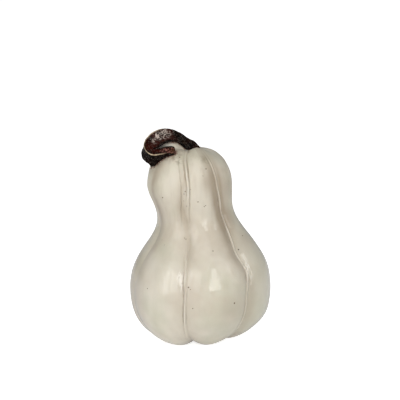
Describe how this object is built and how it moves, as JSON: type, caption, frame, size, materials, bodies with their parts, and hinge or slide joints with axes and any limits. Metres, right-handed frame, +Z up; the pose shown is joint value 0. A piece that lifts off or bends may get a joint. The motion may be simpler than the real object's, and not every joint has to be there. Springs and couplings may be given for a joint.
{
  "type": "mini white pumpkin",
  "caption": "Mini white pumpkin with a waisted, gourd-like body, soft uneven lobes, glossy cream skin and a dry dark stem that curls over one shoulder.",
  "frame": {"origin": "On the ground under the middle of the whole part's bounding box, at the height of the lobes' flattened undersides.", "axes": "+Z up the fruit from blossom end to stem. +X to the right of someone facing the front. -Y is the front, with the furrow between the two largest lobes and the stem curled over the left shoulder."},
  "size_m": [0.0751, 0.0752, 0.1137],
  "materials": {
    "fruit_skin": "gloss",
    "stem_bark": "satin"
  },
  "bodies": {
    "root": {"fruit": "fruit_skin", "stem": "stem_bark"}
  },
  "joints": []
}
